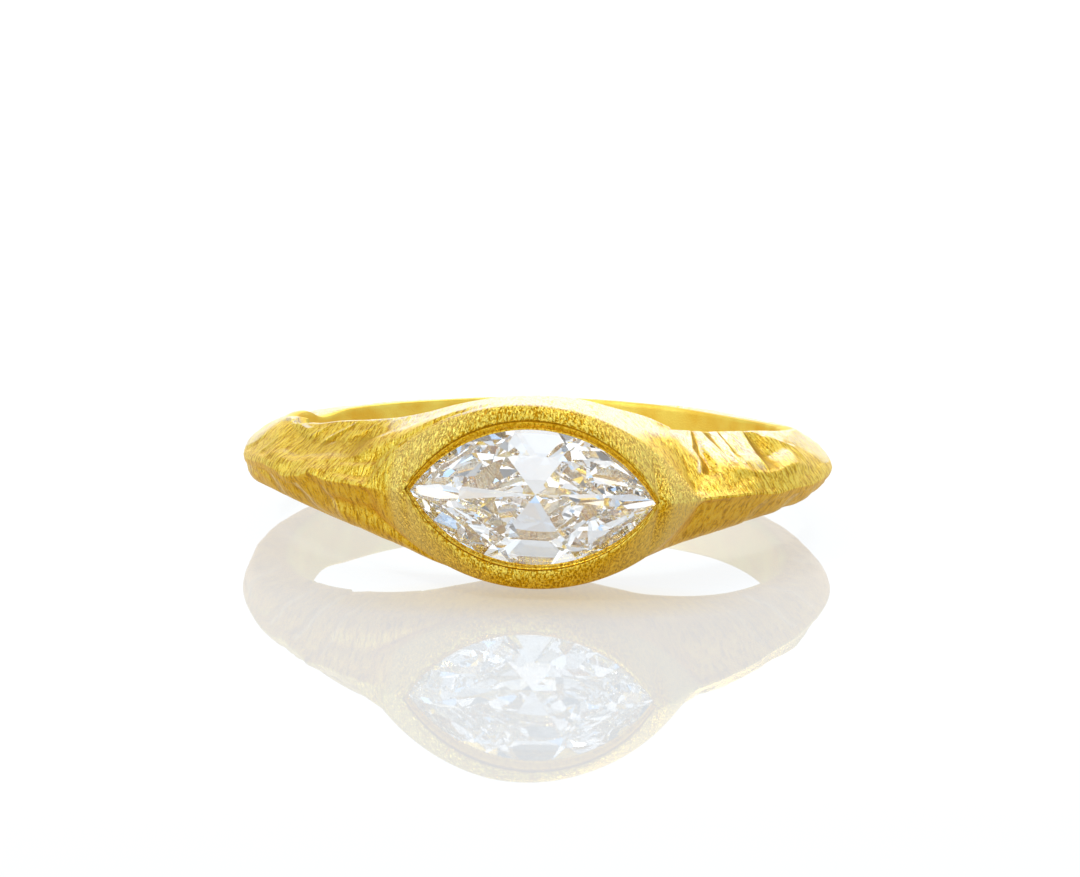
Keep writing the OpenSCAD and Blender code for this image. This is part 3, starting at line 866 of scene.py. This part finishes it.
def gold_patterns(n, brush):
    """Brush lines and a worm-like grain, which follow the brush coordinates, and fine specks and
    broad patches, which don't."""
    place = n.coordinate("Object")
    lines = n.noise(n.stretch(brush, (1, 1, 0.24)), 10.0, 2.0, 0.5, 0.4)
    fine = n.noise(n.stretch(brush, (1, 1, 0.16)), 24.0, 1.0, 0.5)
    lines = n.span(n.math("ADD", n.times(lines, 0.70), n.times(fine, 0.30)), 0.32, 0.68)
    worms = n.span(n.noise(n.stretch(brush, (1, 1, 0.42)), 19.0, 1.0, 0.5, 0.6), 0.34, 0.66)
    speck = n.noise(place, 16000.0, 2.0, 0.6)
    patch = n.noise(place, 900.0, 2.0, 0.5)
    return lines, worms, speck, patch


def gold_relief(n, f, rim, seat, bore, patterns):
    """The fine relief, in mm: lines that come and go on the flanks and grain on the rim, weaker in
    the seat and nearly gone in the bore, and specks outside the seat."""
    lines, worms, speck, patch = patterns
    strength = n.span(patch, 0.40, 0.62, 0.35, 1.0)
    height = n.blend(rim, n.times(n.times(lines, strength), f.brush), n.times(worms, f.grain))
    quiet = n.larger(n.times(seat, 0.55), n.times(bore, 0.94))
    specks = n.times(n.times(speck, 0.024), n.rest(seat))
    height = n.math("ADD", n.times(height, n.rest(quiet)), specks)
    return n.add("ShaderNodeBump", {"Height": height, "Distance": MM, "Strength": 1.0}).outputs[0]


def painted_highlight_share(n, up, plain, cut):
    """Share of the painted highlight: on faces that look up, less where the carving's painted shade
    lies, and on the painted bright bands along stroke edges and the crest.
    """
    painted_highlight = n.times(n.span(up, 0.835, 0.885), n.rest(plain))
    painted_highlight = n.times(n.times(painted_highlight, n.mark("cream")), n.span(cut, 0.0, 0.5, 1.0, 0.0))
    return n.larger(painted_highlight, n.span(cut, -0.1, -0.9, 0.0, 0.75))


def gold_colour(n, f, rim, seat, bore, cut, up, aside, painted_highlight, depth, patterns):
    """Colour of the gold, with painted light and shade. It goes from gold to a painted amber shade as a
    face turns down, has painted shade on the steep faces of cuts and in hollows, a painted highlight
    on top, on the bright bands and in the pocket, painted light in the bore, painted glints on single
    grains and the rim's sides, and is deep in the brush lines and, as painted shade, in the bevel's
    groove."""
    lines, worms, speck, patch = patterns
    # The tone follows the brush lines, worms and specks; it is raised in the bore as painted light and
    # taken out in the bevel's groove as painted shade.
    tone = n.math("ADD", n.times(n.blend(rim, lines, worms), 0.40), n.times(speck, 0.60))
    tone = n.larger(n.span(tone, 0.35, 0.63), n.times(bore, 0.5))
    tone = n.times(tone, n.rest(n.times(seat, n.span(depth, 0.34, 0.16))))
    # Painted glints: on bright grains, more on faces that look up, and on the rim's sides.
    rim_side_painted_light = n.times(rim, n.span(aside, 0.20, 0.60))
    painted_glint = n.times(n.span(tone, 0.50, 0.90), n.span(up, -0.35, 0.15, 0.30, 1.0))
    painted_glint = n.times(n.times(painted_glint, n.rest(bore)), n.span(cut, 0.0, 0.6, 1.0, 0.0))
    painted_glint = n.larger(painted_glint, n.times(rim_side_painted_light, 0.30))
    # Painted highlight in the seat below the bevel: the lip, the pocket and the open back.
    pocket = n.times(seat, n.span(depth, 1.1, 1.3))
    # Painted shade: amber where a face turns down, darker on the carving's steep faces and in hollows.
    face = n.mix(n.span(up, 0.15, -0.35), f.gold, f.gold_underside_shade_and_amber)
    face = n.mix(n.span(cut, 0.0, 1.0, 0.0, 0.9), face, f.gold_cut_painted_shade)
    # Painted light: a brighter gold in the bore, with random amber patches.
    face = n.mix(bore, face, n.mix(n.span(patch, 0.35, 0.65, 0.5, 0.0), f.gold_bore_painted_light, f.gold_underside_shade_and_amber))
    face = n.mix(n.larger(painted_highlight, pocket), face, f.gold_painted_highlight)
    in_lines = n.mix(n.times(painted_highlight, 0.45), f.gold_deep_grain_and_groove_shade, f.gold_painted_highlight)
    face = n.mix(n.span(tone, 0.05, 0.50), in_lines, face)
    face = n.mix(painted_glint, face, f.gold_painted_glint)
    # Painted highlight on the rim's sides.
    return n.mix(n.times(rim_side_painted_light, 0.10), face, f.gold_painted_highlight)


def gold_material(f):
    """Matte gold: brush lines on the flanks, a worm-like grain on the rim, a smoother bore, and a
    satin bevel round the stone."""
    mat, n = new_material("brushed_gold")
    brush = n.mark("brush", "Vector")
    rim, seat, bore, cut = (n.mark(name) for name in ("rim", "seat", "bore", "cut"))
    facing = n.parts(n.coordinate("Normal"))
    up = n.math("MULTIPLY_ADD", facing["X"], 0.05, facing["Z"])
    aside = n.math("ABSOLUTE", facing["X"])
    patterns = gold_patterns(n, brush)
    painted_highlight = painted_highlight_share(n, up, n.larger(rim, n.larger(seat, bore)), cut)
    face = gold_colour(n, f, rim, seat, bore, cut, up, aside, painted_highlight, n.parts(brush)["Z"], patterns)
    rough = n.blend(seat, n.blend(bore, f.roughness, 0.50), 0.24)
    rough = n.math("ADD", rough, n.span(patterns[2], 0.3, 0.7, -0.05, 0.05))
    # The specular tint turns white where the highlight is painted.
    gloss = n.add("ShaderNodeBsdfPrincipled", {
        "Base Color": face, "Metallic": 1.0, "Roughness": rough,
        "Normal": gold_relief(n, f, rim, seat, bore, patterns),
        "Specular Tint": n.mix(painted_highlight, f.gold_edge, (1, 1, 1)),
        "Coat Weight": 0.03, "Coat Roughness": 0.5, "Coat IOR": 1.5})
    n.finish("ShaderNodeOutputMaterial", gloss)
    return mat


def stone_material(f):
    """Clear diamond: full transmission with a diamond's refraction, and the faintest cool tint
    that drifts through the stone."""
    mat, n = new_material("diamond")
    drift = n.noise(n.coordinate("Object"), 300.0, 1.0, 0.5)
    gem = n.add("ShaderNodeBsdfPrincipled", {
        "Base Color": n.mix(drift, f.stone, (1, 1, 1)), "Metallic": 0.0, "Roughness": 0.0,
        "IOR": 2.417, "Transmission Weight": 1.0})
    n.finish("ShaderNodeOutputMaterial", gem)
    return mat


def acrylic_material(f):
    """Glossy white acrylic with a few fine scratches, and a painted warm shadow in an oval patch under
    the ring's head."""
    mat, n = new_material("white_acrylic")
    place = n.coordinate("Object")
    scratch = n.noise(n.stretch(place, (1, 0.06, 1)), 4200.0, 2.0, 0.6, 0.4)
    rough = n.span(scratch, 0.66, 0.80, 0.012, 0.08)
    # Painted warm shadow: the glow turns darker and warmer in an oval under the ring's head.
    patch = n.vector("MULTIPLY_ADD", place, SHADOW_PATCH_SCALE, SHADOW_PATCH_SHIFT)
    patch = n.span(n.vector("LENGTH", patch, output="Value"), 1.0, 0.2, 0.0, 0.8)
    gloss = n.add("ShaderNodeBsdfPrincipled", {
        "Base Color": (*f.acrylic, 1), "Roughness": rough, "IOR": 1.5, "Specular IOR Level": 0.36,
        "Specular Tint": (*f.acrylic_gloss, 1),
        "Emission Color": n.mix(patch, (0.93, 0.97, 1.0), (0.92, 0.84, 0.62)),
        "Emission Strength": f.acrylic_glow})
    n.finish("ShaderNodeOutputMaterial", gloss)
    return mat


# Stage


def acrylic_floor(finish):
    """The flat sheet of acrylic."""
    side = np.linspace(-FLOOR_HALF, FLOOR_HALF, 9)
    x, y = np.meshgrid(side, side, indexing="ij")
    grid = np.arange(x.size).reshape(x.shape)
    points = np.stack([x.ravel(), y.ravel(), np.zeros(x.size)], -1)
    floor = put_mesh("acrylic_floor", points, grid_quads(grid, False, False), smooth_shade=False)
    floor.data.materials.append(acrylic_material(finish))


def white_studio(s):
    """A white room with a bright sweep behind the ring, a ceiling, dimmer sides and a soft fill on
    the left. Only what leaves the stone meets the card beside the camera and the panels of the
    front half, which are dark or bright and a few of them blue or amber."""
    world = bpy.data.worlds.new("white_studio")
    world.use_nodes = True
    n = Nodes(world.node_tree)
    way = n.coordinate("Generated")
    part = n.parts(way)
    aside = n.math("ABSOLUTE", part["X"])
    level = n.blend(n.span(part["Y"], -0.35, -0.90), s.side, s.front)
    level = n.blend(n.span(part["Z"], 0.30, 0.75), level, s.top)
    sweep = n.times(n.span(part["Y"], 0.35, 0.80), n.span(part["Z"], 0.60, 0.40))
    level = n.blend(n.times(sweep, n.span(aside, 0.46, 0.26)), level, s.back)

    from_stone = n.add("ShaderNodeLightPath").outputs["Is Transmission Ray"]
    room = n.times(n.span(part["Y"], 0.20, 0.0), n.span(part["Z"], 0.02, 0.06))
    room = n.times(room, from_stone)
    panels = n.add("ShaderNodeTexVoronoi", {"Vector": way, "Scale": 8.0}).outputs["Color"]
    pick = n.add("ShaderNodeSeparateColor", {0: panels}).outputs
    level = n.times(level, n.blend(room, 1.0, n.span(pick["Red"], 0.36, 0.40, 0.20, 1.55)))
    card = n.vector("DOT_PRODUCT", way, CARD_WAY, output="Value")
    card = n.times(n.span(card, 0.989, 0.992), from_stone)
    level = n.blend(card, level, n.span(part["Z"], 0.17, 0.28, 1.10, 0.72))
    fill = n.vector("DOT_PRODUCT", way, FILL_WAY, output="Value")
    level = n.math("ADD", level, n.span(fill, 0.82, 0.96, 0.0, 0.70))

    blue = n.times(room, n.span(pick["Green"], 0.24, 0.20))
    amber = n.times(room, n.span(pick["Green"], 0.88, 0.92))
    tint = n.mix(n.span(aside, 0.35, 0.75), (1, 1, 1), (0.84, 0.92, 1))
    tint = n.mix(amber, n.mix(blue, tint, (0.45, 0.68, 1)), (1, 0.72, 0.14))
    tint = n.mix(card, tint, (0.90, 0.95, 1))
    n.finish("ShaderNodeOutputWorld", n.add("ShaderNodeBackground", {"Color": tint, "Strength": level}))
    return world


def hang_lamps(scene):
    """The round lamps, each turned to the ring."""
    for name, place, width, power in LAMPS:
        lamp = bpy.data.lights.new(name, "AREA")
        lamp.shape, lamp.size, lamp.energy = "DISK", width, power
        light = bpy.data.objects.new(name, lamp)
        light.location = place
        light.rotation_euler = (-Vector(place)).to_track_quat("-Z", "Y").to_euler()
        scene.collection.objects.link(light)


def photo_camera(scene, s):
    """The camera at the photo's angle, with the lens that shows the frame's width at the ring."""
    lens = bpy.data.cameras.new("photo_camera")
    lens.sensor_width = 36
    lens.lens = lens.sensor_width * s.distance / s.frame_width
    lens.clip_start, lens.clip_end = 0.01, 10
    camera = bpy.data.objects.new("photo_camera", lens)
    scene.collection.objects.link(camera)
    aim = Vector((AXIS_POINT[0] * MM + AIM_ASIDE, AXIS_POINT[1] * MM, AIM_HEIGHT))
    back = Vector((0, -math.cos(s.elevation), math.sin(s.elevation)))
    turn = (-back).to_track_quat("-Z", "Y").to_matrix().to_4x4()
    place = Matrix.Translation(aim + back * s.distance)
    camera.matrix_world = place @ turn @ Matrix.Rotation(s.roll, 4, "Z")
    scene.camera = camera


# Operators


class RING_OT_band(bpy.types.Operator):
    """Carve the gold band with its rim setting"""

    bl_idname = "ring.band"
    bl_label = "Carved Band"
    bl_options = {"REGISTER", "UNDO"}

    def execute(self, context):
        scene = context.scene
        points, quads, marks = ring_surface(scene.ring_sizes)
        piece = put_mesh("carved_gold_band", lie_down(points), quads)
        brush, *shares = marks
        layer = piece.data.attributes.new("brush", "FLOAT_VECTOR", "POINT")
        layer.data.foreach_set("vector", brush.astype(np.float32).ravel())
        for name, values in zip(MARKS, shares):
            layer = piece.data.attributes.new(name, "FLOAT", "POINT")
            layer.data.foreach_set("value", values.astype(np.float32))
        piece.data.materials.append(gold_material(scene.ring_finish))
        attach(piece, "root")
        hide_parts("carved_band")
        return {"FINISHED"}


class RING_OT_stone(bpy.types.Operator):
    """Give the marquise stone its diamond"""

    bl_idname = "ring.stone"
    bl_label = "Marquise Stone"
    bl_options = {"REGISTER", "UNDO"}

    def execute(self, context):
        stone = frame["nodes"]["marquise_stone"]
        stone.data.materials.clear()
        stone.data.materials.append(stone_material(context.scene.ring_finish))
        return {"FINISHED"}


class RING_OT_stage(bpy.types.Operator):
    """Lay the acrylic, light it and set the camera"""

    bl_idname = "ring.stage"
    bl_label = "Stage"
    bl_options = {"REGISTER", "UNDO"}

    def execute(self, context):
        scene = context.scene
        acrylic_floor(scene.ring_finish)
        scene.world = white_studio(scene.ring_stage)
        scene.view_settings.view_transform = "Standard"
        for limit in ("max_bounces", "glossy_bounces", "transmission_bounces"):
            setattr(scene.cycles, limit, STONE_BOUNCES)
        hang_lamps(scene)
        photo_camera(scene, scene.ring_stage)
        return {"FINISHED"}


class RING_PT_panel(bpy.types.Panel):
    """Sizes, finishes and stage of the ring"""

    bl_idname = "RING_PT_panel"
    bl_label = "Ring"
    bl_space_type = "VIEW_3D"
    bl_region_type = "UI"
    bl_category = "Ring"

    def draw(self, context):
        for title, group, operators in (
                ("Sizes", context.scene.ring_sizes, ("ring.band", "ring.stone")),
                ("Finish", context.scene.ring_finish, ()),
                ("Stage", context.scene.ring_stage, ("ring.stage",))):
            box = self.layout.box()
            box.label(text=title)
            for name in group.__annotations__:
                box.prop(group, name)
            for operator in operators:
                box.operator(operator)


GROUPS = {"ring_sizes": RingSizes, "ring_finish": RingFinish, "ring_stage": RingStage}
CLASSES = (*GROUPS.values(), RING_OT_band, RING_OT_stone, RING_OT_stage, RING_PT_panel)


def register():
    for c in CLASSES:
        bpy.utils.register_class(c)
    for name, group in GROUPS.items():
        setattr(bpy.types.Scene, name, bpy.props.PointerProperty(type=group))


def unregister():
    for name in GROUPS:
        delattr(bpy.types.Scene, name)
    for c in reversed(CLASSES):
        bpy.utils.unregister_class(c)


def main():
    register()
    bpy.ops.ring.band()
    bpy.ops.ring.stone()
    bpy.ops.ring.stage()


if __name__ == "__main__":
    main()
